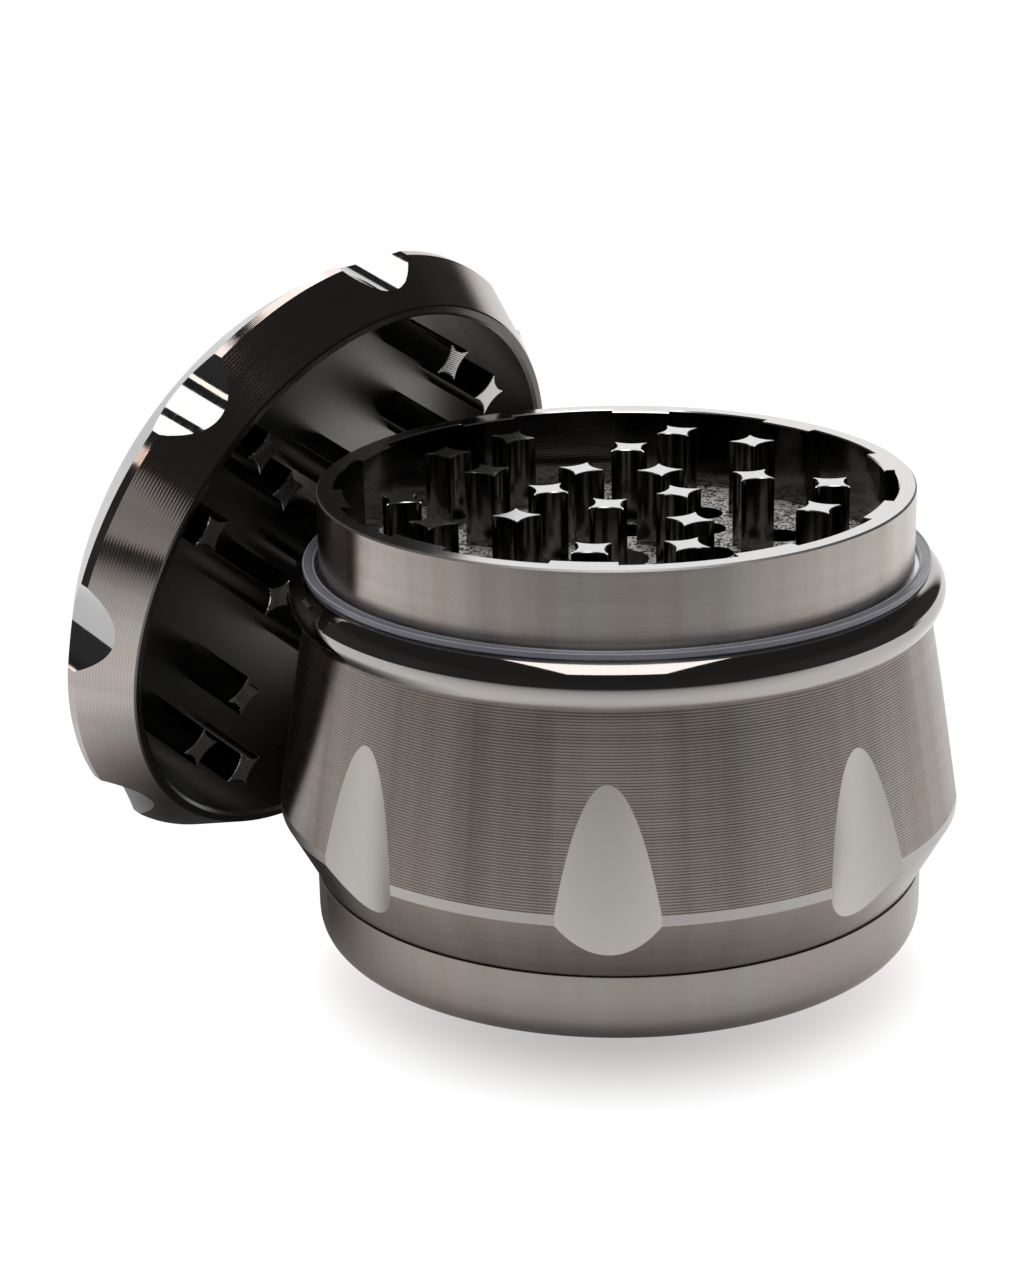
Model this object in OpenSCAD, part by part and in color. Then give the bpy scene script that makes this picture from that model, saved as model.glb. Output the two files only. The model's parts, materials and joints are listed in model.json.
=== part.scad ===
// Drum-shaped herb grinder in turned and milled aluminium, in millimetres.
// The catch bowl stands on z = 0, the common axis is +Z, and the lid has been
// taken off: it stands on its widest edge and leans, mouth first, on the drum.

/* [Drum outline] */
// How far the catch bowl's wall stands out beyond the drum's foot
bowl_step = 0.5; // [0.2:0.1:1]
// Height of the catch bowl's visible wall
bowl_wall_h = 6.5; // [5:0.1:9]
// Rounding under the catch bowl
bowl_edge = 0.9; // [0.3:0.1:1.5]
// Wall of the sieve drum at its lower seam
drum_foot_wall = 1.35; // [1:0.05:2]
// Height of the drum's lower taper
taper_h = 6.1; // [4:0.1:8]
// Height of the plain band at the widest edge
band_h = 1.0; // [0.4:0.1:2]
// Height of the flared cone above the band
cone_h = 17.2; // [13:0.1:22]
// How far the cone's top stands out beyond the circle of the bead
seam_step = 0.85; // [0.4:0.05:1.4]

/* [Tooth chamber] */
// Outer radius of the collar
collar_r = 27.05; // [24:0.05:30]
// Height of the collar above its shoulder
collar_h = 7.3; // [6:0.1:10]
// Chamfer on the collar's outer rim
rim_chamfer = 0.35; // [0.1:0.05:0.6]
// Wall of the collar, in its pockets
rim_wall = 1.6; // [1.2:0.05:2]
// How far each land stands in from the pockets
land_depth = 0.85; // [0.4:0.05:1.0]
// Number of lands around the collar
land_count = 10; // [6:1:14]
// Angle that one land takes up
land_angle = 13; // [8:1:18]
// Radius of the round bead's section
bead_section_r = 2.15; // [1.8:0.05:2.6]
// How far the circle that the bead's section runs round stands out from the collar
bead_out = 0.7; // [0.5:0.05:1.2]
// Thickness of the chamber floor
floor_t = 2.5; // [2:0.1:3.5]
// How far the chamber floor lies under the collar's shoulder
floor_drop = 0.2; // [0:0.1:1]
// Diameter of a floor hole
hole_d = 4.0; // [3:0.1:4.4]
// Depth of the threaded skirt under the chamber
skirt_h = 4.7; // [4:0.1:6]

/* [Teeth] */
// Half the width of a tooth across its flanks, corner to centre line
tooth_half = 1.45; // [1.2:0.05:1.5]
// Width of the small flat left at each tooth point
tooth_point = 0.08; // [0.05:0.01:0.2]
// How deep each hollow flank is
flank_hollow = 0.4; // [0.2:0.05:0.5]
// How far the chamber's teeth stop below the rim
tooth_below_rim = 0.6; // [0.3:0.1:1.5]
// Radius of the chamber's inner tooth ring
ring_inner_r = 6.2; // [6.1:0.1:6.3]
// Radius of the chamber's middle tooth ring
ring_middle_r = 12.9; // [12.8:0.1:13]
// How far the middle of the chamber's outer tooth ring stands in from the lands
ring_outer_in = 5.1; // [5:0.1:5.2]
// Radius of the lid's inner tooth ring
lid_ring_inner_r = 9.55; // [9.5:0.05:9.6]
// Radius of the lid's middle tooth ring
lid_ring_middle_r = 16.2; // [16.1:0.05:16.3]
// How far the middle of the lid's outer tooth ring stands in from the lid's bore
lid_ring_outer_in = 4.55; // [4.5:0.05:4.65]

/* [Flutes] */
// Number of flutes round the drum and round the lid
flute_count = 8; // [5:1:10]
// Radius of the cutter that leaves a flute
flute_cutter_r = 7.3; // [5:0.1:10]
// Wall left between the bottom of a flute and the lid's bore
flute_wall = 2.28; // [1.9:0.01:3]
// Depth of a flute at the widest edge of the drum and the lid
flute_depth = 1.87; // [0.8:0.01:3]
// Turn of the drum's first flute
drum_flute_turn = -91.6; // [-180:0.1:180]
// Turn of the lid's first flute about the lid's own axis
lid_flute_turn = 0; // [-180:0.1:180]

/* [Threads and bores] */
// How far the sieve drum's bore, above and below its ledge, lies in from the collar's outside
bore_in = 0.6; // [0.3:0.05:1]
// Room between a threaded skirt's core and the bore, for the thread itself
thread_room = 0.55; // [0.4:0.05:0.7]
// Wall of the threaded skirt and of the bowl's neck
skirt_wall = 1.6; // [1.2:0.1:2]
// Height of the catch bowl's threaded neck
neck_h = 4.5; // [3.5:0.1:5.5]
// Thickness of the catch bowl's floor
bowl_floor_t = 1.8; // [1.2:0.1:2.5]
// Radius of the sweep where the bowl's floor meets its wall
bowl_sweep_r = 3.0; // [2:0.1:4]

/* [Screen] */
// Width of the ledge that carries the screen
ledge_w = 2.85; // [2.2:0.05:4]
// Thickness of the ledge
ledge_t = 1.5; // [1:0.1:2]
// Thickness of the mesh
mesh_t = 0.2; // [0.1:0.05:0.3]
// Height of the ring that holds the mesh down
screen_ring_h = 1.2; // [0.8:0.1:2]
// Width of that ring
screen_ring_w = 2.07; // [1.4:0.01:2.8]

/* [Friction ring] */
// Width of the nylon ring on the shoulder, bore to edge
ring_w = 2.37; // [1.5:0.01:2.6]
// Thickness of the nylon ring
ring_t = 0.55; // [0.4:0.05:0.8]

/* [Lid] */
// Wall of the lid at its mouth
mouth_wall = 1.0; // [0.7:0.05:1.5]
// Radial room between the lid's mouth and the collar
mouth_clear = 0.3; // [0.1:0.05:0.4]
// Chamfer inside the lid's mouth
mouth_chamfer = 0.3; // [0.1:0.05:0.4]
// Height of the lid's lower taper, mouth to band
lid_taper_h = 4.9; // [4:0.1:7]
// Height of the plain band at the lid's widest edge
lid_band_h = 0.9; // [0.4:0.1:2]
// Height of the bevel between the band and the flat top
lid_bevel_h = 4.4; // [3:0.1:6]
// How far the lid's flat top stops short of the radius of its bore
lid_top_in = 0.15; // [-1:0.05:2]
// Depth inside the lid, mouth to ceiling
lid_depth = 8.0; // [7.9:0.1:8.6]
// How far the lid's teeth stop short of its mouth
lid_tooth_back = 0.6; // [0.4:0.1:1.2]
// Radius of the lid's centre boss
boss_r = 4.0; // [3.8:0.1:4.3]
// How far the boss stops short of the mouth
boss_back = 1.2; // [0.8:0.1:2]

/* [Magnets] */
// Radius of both disc magnets
magnet_r = 3.0; // [2:0.1:3.2]
// Thickness of both disc magnets
magnet_h = 1.6; // [1:0.1:1.9]

/* [Leaning lid] */
// How far the lid's axis dips towards its mouth, in degrees
lean_dip = 17.3; // [10:0.1:30]
// Heading of the lid's axis, ceiling to mouth
lean_heading = -37.9; // [-60:0.1:-15]
// How far the nylon ring's edge stands past the plane of the leaning lid's mouth
lean_past = 0.4; // [0.3:0.05:0.5]
// Sideways place of the lid's mouth centre, square to its heading
lean_side = -1.9; // [-6:0.1:6]
// Gap left between the lid's lowest edge and the ground
ground_gap = 0.05; // [0.02:0.01:0.3]

/* [Fits] */
// Gap between two flat faces that turn on each other
face_gap = 0.05; // [0.02:0.01:0.1]
// Radial running clearance between two round faces
run_clear = 0.08; // [0.02:0.01:0.1]
// Radial gap round a magnet in its pocket
magnet_clear = 0.05; // [0.02:0.01:0.1]

/* [Hidden] */
$fn = 96;
over = 1;                                        // length by which a cut runs past a face
gun_metal = [0.58, 0.57, 0.56];
// radii that follow the collar, from its bore out to the widest edge
pocket_r = collar_r - rim_wall;
land_r = pocket_r - land_depth;
ring_outer_r = land_r - ring_outer_in;
bead_path_r = collar_r + bead_out;
cone_top_r = bead_path_r + seam_step;
lid_bore_r = collar_r + mouth_clear;
lid_top_r = lid_bore_r - lid_top_in;
mouth_r = lid_bore_r + mouth_wall;
lid_ring_outer_r = lid_bore_r - lid_ring_outer_in;
flute_bottom_r = lid_bore_r + flute_wall;
widest_r = flute_bottom_r + flute_depth;         // shared by the sieve drum and the lid
drum_bore_r = collar_r - bore_in;
drum_foot_r = drum_bore_r + drum_foot_wall;
bowl_r = drum_foot_r + bowl_step;
// heights up the drum
drum_z = bowl_wall_h + face_gap;                 // lower seam
band_z = drum_z + taper_h;
cone_z = band_z + band_h;
seam_z = cone_z + cone_h;                        // upper seam
flange_z = seam_z + face_gap;                    // underside of the bead's flange
bead_z = flange_z + bead_section_r;              // middle of the bead
shoulder_z = flange_z + 2 * bead_section_r;      // shoulder that carries the nylon ring
rim_z = shoulder_z + collar_h;
floor_z = shoulder_z - floor_drop;               // top of the chamber floor
// male threads and the socket over the bowl's neck
skirt_r = drum_bore_r - thread_room;
skirt_in_r = skirt_r - skirt_wall;
neck_top_z = bowl_wall_h + neck_h;
socket_top_z = neck_top_z + 6 * face_gap;
// screen, from its ledge up
ledge_top_z = socket_top_z + ledge_t;
mesh_z = ledge_top_z + face_gap;
screen_ring_z = mesh_z + mesh_t;
disc_r = drum_bore_r - run_clear;                // edge of the mesh and of its ring
screen_ring_in_r = disc_r - screen_ring_w;
ledge_r = drum_bore_r - ledge_w;
// nylon ring on the shoulder
ring_bore_r = collar_r + run_clear;
ring_r = ring_bore_r + ring_w;
ring_z = shoulder_z + face_gap;
// inside the collar
land_step = 360 / land_count;
chamber_tooth_h = rim_z - tooth_below_rim - floor_z;
// lid, measured from its mouth: the mouth is at 0 and the flat top at -lid_h
lid_band_at = lid_taper_h;
lid_bevel_at = lid_taper_h + lid_band_h;
lid_h = lid_bevel_at + lid_bevel_h;
lid_tooth_h = lid_depth - lid_tooth_back;
// where the chamber's teeth and holes stand
chamber_turn = 12;                               // turn of the whole five-fold pattern
five = 360 / 5;
four = 360 / 4;
outer_pair = 12;                                 // half the angle between paired outer teeth
lid_pair = 11;                                   // the same in the lid
lid_pair_turn = 54;                              // middle of the lid's first pair
lid_middle_turn = 44;
lid_inner_turn = 3;
// floor holes: radius and turn, each five times
HOLES = [[9.0, 10], [12.6, 48], [ring_outer_r - 2.7, 24], [ring_outer_r - 2.9, -12]];
// the leaning lid stands on the two edges of its lowest flute
flute_centre_r = flute_bottom_r + flute_cutter_r;
flute_edge_y = (pow(widest_r, 2) + pow(flute_centre_r, 2) - pow(flute_cutter_r, 2)) / (2 * flute_centre_r);
mouth_z = ground_gap + flute_edge_y * cos(lean_dip) - lid_band_at * sin(lean_dip);
lean_back = ring_r - lean_past + (ring_z + ring_t - mouth_z) * tan(lean_dip);  // its mouth meets the ring

// Plan of one tooth: a square with four hollow flanks and its points at 45 degrees
module tooth_plan() {
    reach = tooth_half - tooth_point;
    hollow_r = (pow(reach, 2) + pow(flank_hollow, 2)) / (2 * flank_hollow);
    difference() {
        square(2 * tooth_half, center = true);
        for (i = [0 : 3])
            rotate(90 * i) translate([tooth_half - flank_hollow + hollow_r, 0]) circle(r = hollow_r);
    }
}

// Teeth of height h on a circle of radius r, at each of the given turns
module tooth_ring(r, turns, h) {
    for (a = turns)
        rotate([0, 0, a]) translate([r, 0, 0]) linear_extrude(h) tooth_plan();
}

// Upright cutters for flutes round a turned body, h long
module flute_cutters(turn, h) {
    for (i = [0 : flute_count - 1])
        rotate([0, 0, turn + i * 360 / flute_count])
            translate([flute_centre_r, 0, 0]) cylinder(r = flute_cutter_r, h = h);
}

// Shallow dish at the bottom, with the threaded neck that the drum screws down on
module catch_bowl() {
    sweep_in = skirt_in_r - bowl_sweep_r;
    color(gun_metal)
        rotate_extrude() difference() {
            union() {
                polygon([[0, 0], [bowl_r - bowl_edge, 0], [bowl_r, bowl_edge], [bowl_r, bowl_wall_h],
                         [skirt_r, bowl_wall_h], [skirt_r, neck_top_z], [0, neck_top_z]]);
                intersection() {
                    translate([bowl_r - bowl_edge, bowl_edge]) circle(r = bowl_edge);
                    translate([bowl_r - bowl_edge, 0]) square(bowl_edge);
                }
            }
            translate([0, bowl_floor_t + bowl_sweep_r]) square([skirt_in_r, neck_top_z]);
            translate([0, bowl_floor_t]) square([sweep_in, bowl_sweep_r + over]);
            intersection() {
                translate([sweep_in, bowl_floor_t + bowl_sweep_r]) circle(r = bowl_sweep_r);
                translate([sweep_in, bowl_floor_t]) square([bowl_sweep_r, bowl_sweep_r + over / 2]);
            }
        }
}

// Flared body: taper, band and cone outside, a plain bore with a ledge inside, eight flutes
module sieve_drum() {
    color(gun_metal)
        difference() {
            rotate_extrude()
                polygon([[drum_bore_r, drum_z], [drum_foot_r, drum_z], [widest_r, band_z],
                         [widest_r, cone_z], [cone_top_r, seam_z], [drum_bore_r, seam_z],
                         [drum_bore_r, ledge_top_z], [ledge_r, ledge_top_z],
                         [ledge_r, socket_top_z], [drum_bore_r, socket_top_z]]);
            translate([0, 0, drum_z - over]) flute_cutters(drum_flute_turn, seam_z - drum_z + 2 * over);
        }
}

// Stainless mesh that lets the finest powder through to the bowl
module mesh_screen() {
    color([0.78, 0.78, 0.76])
        translate([0, 0, mesh_z]) cylinder(r = disc_r, h = mesh_t);
}

// Ring that holds the mesh down on the drum's ledge
module screen_ring() {
    color([0.7, 0.7, 0.7])
        translate([0, 0, screen_ring_z]) difference() {
            cylinder(r = disc_r, h = screen_ring_h);
            translate([0, 0, -over]) cylinder(r = screen_ring_in_r, h = screen_ring_h + 2 * over);
        }
}

// Turned blank of the chamber: skirt, bead, shoulder, collar and floor
module chamber_blank() {
    rotate_extrude() {
        difference() {
            union() {
                polygon([[0, flange_z], [bead_path_r, flange_z], [bead_path_r, shoulder_z],
                         [collar_r, shoulder_z], [collar_r, rim_z - rim_chamfer],
                         [collar_r - rim_chamfer, rim_z], [0, rim_z]]);
                translate([bead_path_r, bead_z]) intersection() {
                    circle(r = bead_section_r);
                    translate([0, -bead_section_r]) square([bead_section_r, 2 * bead_section_r]);
                }
            }
            translate([0, floor_z]) square([land_r, rim_z]);
            translate([0, flange_z - over]) square([skirt_in_r, floor_z - floor_t - flange_z + over]);
        }
        translate([skirt_in_r, flange_z - skirt_h]) square([skirt_wall, skirt_h + over / 2]);
    }
}

// Chamber where the teeth meet: lands and pockets inside the collar, and holes to fall through
module tooth_chamber() {
    color(gun_metal)
        difference() {
            rotate([0, 0, chamber_turn]) chamber_blank();
            for (i = [0 : land_count - 1])
                rotate([0, 0, chamber_turn + land_angle / 2 + i * land_step])
                    translate([0, 0, floor_z])
                        rotate_extrude(angle = land_step - land_angle)
                            translate([land_r - over, 0]) square([land_depth + over, collar_h + 2 * over]);
            for (hole = HOLES, i = [0 : 4])
                rotate([0, 0, hole[1] + i * five]) translate([hole[0], 0, floor_z - floor_t - over])
                    cylinder(d = hole_d, h = floor_t + 2 * over);
            translate([0, 0, floor_z - magnet_h]) cylinder(r = magnet_r + magnet_clear, h = magnet_h + over);
        }
}

// The chamber's twenty teeth, milled out of its floor, in three rings
module chamber_teeth() {
    color(gun_metal)
        translate([0, 0, floor_z]) {
            tooth_ring(ring_inner_r, [for (i = [0 : 4]) -2 * chamber_turn + i * five], chamber_tooth_h);
            tooth_ring(ring_middle_r, [for (i = [0 : 4]) chamber_turn + i * five], chamber_tooth_h);
            tooth_ring(ring_outer_r, [for (i = [0 : 4], s = [-1, 1]) -chamber_turn + s * outer_pair + i * five],
                       chamber_tooth_h);
        }
}

// Disc magnet let into the middle of the chamber floor
module chamber_magnet() {
    color([0.75, 0.76, 0.78])
        translate([0, 0, floor_z - magnet_h + face_gap]) cylinder(r = magnet_r, h = magnet_h - face_gap);
}

// Nylon ring on the shoulder, which the lid's mouth turns on
module friction_ring() {
    color([0.86, 0.89, 0.94])
        translate([0, 0, ring_z]) difference() {
            cylinder(r = ring_r, h = ring_t);
            translate([0, 0, -over]) cylinder(r = ring_bore_r, h = ring_t + 2 * over);
        }
}

// Carries the lid from its own axis, mouth upwards at z = 0, to where it leans
module lean() {
    translate([-lean_back * cos(lean_heading) - lean_side * sin(lean_heading),
               -lean_back * sin(lean_heading) + lean_side * cos(lean_heading), mouth_z])
        rotate([0, 90 + lean_dip, lean_heading]) children();
}

// Lid: taper, band and bevel outside with flutes, a round cavity and a centre boss inside
module lid_cap() {
    color([0.42, 0.42, 0.42])
        lean() difference() {
            rotate_extrude()
                polygon([[0, -lid_h], [lid_top_r, -lid_h], [widest_r, -lid_bevel_at],
                         [widest_r, -lid_band_at], [mouth_r, 0], [lid_bore_r + mouth_chamfer, 0],
                         [lid_bore_r, -mouth_chamfer], [lid_bore_r, -lid_depth], [boss_r, -lid_depth],
                         [boss_r, -boss_back], [magnet_r + magnet_clear, -boss_back],
                         [magnet_r + magnet_clear, -boss_back - magnet_h], [0, -boss_back - magnet_h]]);
            translate([0, 0, -lid_h - over]) flute_cutters(lid_flute_turn, lid_h + 2 * over);
        }
}

// The lid's sixteen teeth, milled out of its ceiling, in three rings
module lid_teeth() {
    color([0.42, 0.42, 0.42])
        lean() translate([0, 0, -lid_depth]) {
            tooth_ring(lid_ring_inner_r, [for (i = [0 : 3]) lid_inner_turn + i * four], lid_tooth_h);
            tooth_ring(lid_ring_middle_r, [for (i = [0 : 3]) lid_middle_turn + i * four], lid_tooth_h);
            tooth_ring(lid_ring_outer_r, [for (i = [0 : 3], s = [-1, 1]) lid_pair_turn + s * lid_pair + i * four],
                       lid_tooth_h);
        }
}

// Disc magnet in the tip of the lid's boss
module lid_magnet() {
    color([0.75, 0.76, 0.78])
        lean() translate([0, 0, -boss_back - magnet_h + face_gap]) cylinder(r = magnet_r, h = magnet_h - face_gap);
}

catch_bowl();
sieve_drum();
mesh_screen();
screen_ring();
tooth_chamber();
chamber_teeth();
chamber_magnet();
friction_ring();
lid_cap();
lid_teeth();
lid_magnet();
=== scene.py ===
# Drum-shaped herb grinder with its lid off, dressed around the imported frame.
# Lengths in the dictionaries are millimetres and angles are degrees.
import json
import math

import bpy
from mathutils import Matrix, Vector
from mathutils.geometry import delaunay_2d_cdt


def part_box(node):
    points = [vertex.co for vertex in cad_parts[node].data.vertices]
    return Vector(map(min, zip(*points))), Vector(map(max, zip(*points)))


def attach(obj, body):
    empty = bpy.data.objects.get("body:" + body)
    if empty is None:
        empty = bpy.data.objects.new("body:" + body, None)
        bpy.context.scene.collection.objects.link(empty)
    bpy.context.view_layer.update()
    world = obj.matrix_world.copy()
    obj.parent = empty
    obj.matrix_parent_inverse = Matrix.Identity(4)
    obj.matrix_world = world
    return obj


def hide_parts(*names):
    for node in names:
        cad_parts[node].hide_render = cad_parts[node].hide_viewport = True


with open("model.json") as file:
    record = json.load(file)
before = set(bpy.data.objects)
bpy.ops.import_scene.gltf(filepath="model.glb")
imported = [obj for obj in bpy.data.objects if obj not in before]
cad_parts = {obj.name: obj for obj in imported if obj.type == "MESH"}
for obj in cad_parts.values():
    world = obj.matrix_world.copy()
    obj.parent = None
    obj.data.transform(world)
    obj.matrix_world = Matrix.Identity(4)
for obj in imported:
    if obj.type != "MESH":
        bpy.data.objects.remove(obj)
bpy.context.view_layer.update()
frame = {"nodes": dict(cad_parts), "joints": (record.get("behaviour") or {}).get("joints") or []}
nodes = frame["nodes"]
joints = {joint["name"]: joint for joint in frame["joints"]}
mm = 0.001
fullTurn = 2 * math.pi
print("frame loaded:", len(nodes), "nodes")


# lowest and highest corner of a node, in millimetres
def cadSize(node):
    low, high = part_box(node)
    return [c / mm for c in low], [c / mm for c in high]


_, bowlHigh = cadSize("catch_bowl")
drumLow, drumHigh = cadSize("sieve_drum")
chamberLow, chamberHigh = cadSize("tooth_chamber")
teethLow, teethHigh = cadSize("chamber_teeth")
ringLow, ringHigh = cadSize("friction_ring")


# adds a shader node; inputs are sockets to link or values to set
def addNode(tree, kind, inputs=None, **settings):
    node = tree.nodes.new(kind)
    for name, value in settings.items():
        setattr(node, name, value)
    for socket, value in (inputs or {}).items():
        if isinstance(value, bpy.types.NodeSocket):
            tree.links.new(value, node.inputs[socket])
        else:
            node.inputs[socket].default_value = value
    return node


def calc(tree, operation, *values):
    return addNode(tree, "ShaderNodeMath", dict(enumerate(values)), operation=operation).outputs[0]


def remap(tree, value, fromLow, fromHigh, toLow, toHigh):
    inputs = {"Value": value, "From Min": fromLow, "From Max": fromHigh, "To Min": toLow, "To Max": toHigh}
    return addNode(tree, "ShaderNodeMapRange", inputs).outputs["Result"]


# value carried from low to high between two limits, with soft ends
def softStep(tree, value, start, end, low=0.0, high=1.0):
    inputs = {"Value": value, "From Min": start, "From Max": end, "To Min": low, "To Max": high}
    return addNode(tree, "ShaderNodeMapRange", inputs, interpolation_type="SMOOTHSTEP").outputs["Result"]


# noise along one line (value) or in space (point), 0 to 1
def grain(tree, scale, value=None, point=None, detail=2.0):
    inputs = {"Scale": scale, "Detail": detail, "Roughness": 0.6}
    if value is None:
        inputs["Vector"] = point
        return addNode(tree, "ShaderNodeTexNoise", inputs, noise_dimensions="3D").outputs[0]
    inputs["W"] = value
    return addNode(tree, "ShaderNodeTexNoise", inputs, noise_dimensions="1D").outputs[0]


# where a point is in its own piece
def objectPlace(tree):
    return addNode(tree, "ShaderNodeTexCoord").outputs["Object"]


# distance from the upright axis
def flatLength(tree, axes):
    squares = [calc(tree, "MULTIPLY", axes.outputs[n], axes.outputs[n]) for n in (0, 1)]
    return calc(tree, "SQRT", calc(tree, "ADD", *squares))


# 1 towards the camera's side of the upright axis, -1 away from it
def facingFront(tree, axes, distance):
    towards = calc(tree, "MULTIPLY", axes.outputs[1], -1)
    return calc(tree, "DIVIDE", towards, calc(tree, "MAXIMUM", distance, 0.001))


def newMaterial(name):
    material = bpy.data.materials.new(name)
    material.use_nodes = True
    tree = material.node_tree
    tree.nodes.clear()
    shader = tree.nodes.new("ShaderNodeBsdfPrincipled")
    out = tree.nodes.new("ShaderNodeOutputMaterial")
    tree.links.new(shader.outputs[0], out.inputs["Surface"])
    return material, tree, shader


def colourMetal(tree, shader, tone, shade):
    mixed = addNode(tree, "ShaderNodeVectorMath", {0: tone, "Scale": shade}, operation="SCALE")
    tree.links.new(mixed.outputs[0], shader.inputs["Base Color"])
    shader.inputs["Metallic"].default_value = 1.0


def addBump(tree, shader, height, depth):
    bump = addNode(tree, "ShaderNodeBump", {"Strength": 1.0, "Distance": depth * mm, "Height": height})
    tree.links.new(bump.outputs[0], shader.inputs["Normal"])


# gun-metal plate on aluminium: one family of tones, finished in several ways; the lighter and darker tones
# are copies of the one plate with light and shade painted in
plate = {
    "tone": (0.445, 0.421, 0.402),
    # painted shade: a dark copy of the plate for the chamber's inner walls and holes, the teeth's sides and
    # the lid's mouth rim
    "paintedShadeTone": (0.13, 0.125, 0.12),
    # painted shade: a darker copy of the plate on the bowl, for the shaded table that it mirrors near its
    # foot
    "bowlShadeTone": (0.36, 0.34, 0.322),
    # painted light: a lighter copy of the plate on the drum's top seam, the collar's top chamfer, the
    # chamber floor and the lid's tooth tips
    "paintedLightTone": (0.56, 0.545, 0.525),
    "coneTone": (0.455, 0.418, 0.392),
    # painted light: a lighter copy of the plate on the collar
    "collarLitTone": (0.62, 0.585, 0.56),
    # painted shade: a darker copy of the plate on the drum's taper, which faces down to the shaded table
    "taperShadeTone": (0.265, 0.242, 0.225),
    # painted highlight: a light copy of the plate on the rims
    "rimHighlightTone": (0.74, 0.725, 0.71),
    # painted light: a lighter copy of the plate in the drum's flutes
    "fluteLitTone": (0.60, 0.572, 0.54),
    # painted highlight: the chamber's tooth tops nearly white
    "toothHighlightTone": (0.80, 0.80, 0.80),
    "lidTone": (0.45, 0.415, 0.40),
    "bevelTone": (0.44, 0.445, 0.445),
    "lidFluteTone": (0.47, 0.47, 0.468),
    # painted shade: dark copies of the plate inside the lid
    "insideShadeTone": (0.19, 0.185, 0.178),
    "ceilingShadeTone": (0.21, 0.205, 0.197),
    "warmDrift": (1.03, 0.94, 0.89),
    "coolDrift": (0.99, 1.0, 0.985),
    "coneFeed": 0.24,       # distance between the lathe's lines
    "lidFeed": 0.2,
    "fineFeed": 0.11,
    "chatter": 900,         # unevenness of the lathe's lines, per metre
    "reflectionBandScale": 7.0,       # painted reflection: soft upright bands round a turned wall
    "driftScale": 5.6,      # slower change from warm to cool plate
    "blastGrains": 3400,    # sand-blast grain, per metre
}


# plate that drifts from warm to cool round a piece
def driftingTone(tree, tone, around):
    drift = grain(tree, plate["driftScale"], point=around)
    warm, cool = ([t * c for t, c in zip(tone, plate[side])] + [1] for side in ("warmDrift", "coolDrift"))
    inputs = {"Factor": remap(tree, drift, 0.35, 0.65, 0, 1), "A": warm, "B": cool}
    return addNode(tree, "ShaderNodeMix", inputs, data_type="RGBA").outputs["Result"]


# turned metal: lines at the lathe's feed round the axis, highlights drawn out along it; where asked, soft
# upright bands of painted reflection round the wall
def turnedMetal(name, tone, roughness, lineDepth=0.0, feed=plate["fineFeed"], stretch=0.0, varied=0.03,
                shade=0.04, reflectionBands=0.0, across=0.3):
    material, tree, shader = newMaterial(name)
    axes = addNode(tree, "ShaderNodeSeparateXYZ", {0: objectPlace(tree)})
    flat = flatLength(tree, axes)
    along = calc(tree, "ADD", axes.outputs[2], calc(tree, "MULTIPLY", flat, across))
    chatter = grain(tree, plate["chatter"], value=along)
    turned = calc(tree, "MULTIPLY", along, fullTurn / (feed * mm))
    line = calc(tree, "SINE", calc(tree, "ADD", turned, calc(tree, "MULTIPLY", chatter, 1.5)))
    rough = calc(tree, "ADD", remap(tree, line, -1, 1, roughness - varied, roughness + varied),
                 remap(tree, chatter, 0.3, 0.7, -varied / 2, varied / 2))
    tree.links.new(rough, shader.inputs["Roughness"])
    tint = calc(tree, "MULTIPLY", remap(tree, line, -1, 1, 1 - shade, 1 + shade),
                remap(tree, chatter, 0.3, 0.7, 0.98, 1.02))
    # painted reflection: soft upright bands of lighter and darker tone round the axis
    if reflectionBands:
        unit = {n: calc(tree, "DIVIDE", axes.outputs[n], flat) for n in (0, 1)}
        around = addNode(tree, "ShaderNodeCombineXYZ", unit).outputs[0]
        upright = grain(tree, plate["reflectionBandScale"], point=around, detail=3.0)
        tint = calc(tree, "MULTIPLY", tint, remap(tree, upright, 0.3, 0.7, 1 - reflectionBands, 1 + reflectionBands))
        tone = driftingTone(tree, tone, around)
    colourMetal(tree, shader, tone, tint)
    if lineDepth:
        addBump(tree, shader, line, lineDepth)
    if stretch:
        tangent = addNode(tree, "ShaderNodeTangent", direction_type="RADIAL", axis="Z")
        tree.links.new(tangent.outputs[0], shader.inputs["Tangent"])
        shader.inputs["Anisotropic"].default_value = stretch
        shader.inputs["Anisotropic Rotation"].default_value = 0.25
    return material


# milled metal: fine grain in every direction
def grainedMetal(name, tone, roughness, grainDepth, grains):
    material, tree, shader = newMaterial(name)
    place = objectPlace(tree)
    fine = grain(tree, grains, point=place)
    broad = grain(tree, grains / 12, point=place)
    rough = remap(tree, fine, 0.3, 0.7, roughness - 0.03, roughness + 0.03)
    tree.links.new(rough, shader.inputs["Roughness"])
    colourMetal(tree, shader, tone, remap(tree, broad, 0.25, 0.75, 0.985, 1.015))
    if grainDepth:
        addBump(tree, shader, fine, grainDepth)
    return material


# sand-blasted metal: hard bright and dark specks of painted sparkle in its tone, with a bump of the same
# grain
def blastedMetal(name, tone, roughness, grainDepth, grains):
    material, tree, shader = newMaterial(name)
    place = objectPlace(tree)
    fine = grain(tree, grains, point=place, detail=1.0)
    coarse = grain(tree, grains / 2.6, point=place, detail=1.0)
    grainAndSparkle = calc(tree, "ADD", calc(tree, "MULTIPLY", fine, 0.6), calc(tree, "MULTIPLY", coarse, 0.4))
    # painted sparkle: the specks scale the plate's tone from dark to well over white
    colourMetal(tree, shader, tone, softStep(tree, grainAndSparkle, 0.43, 0.57, 0.15, 2.9))
    rough = remap(tree, fine, 0.3, 0.7, roughness - 0.08, roughness + 0.08)
    tree.links.new(rough, shader.inputs["Roughness"])
    addBump(tree, shader, grainAndSparkle, grainDepth)
    return material


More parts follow.
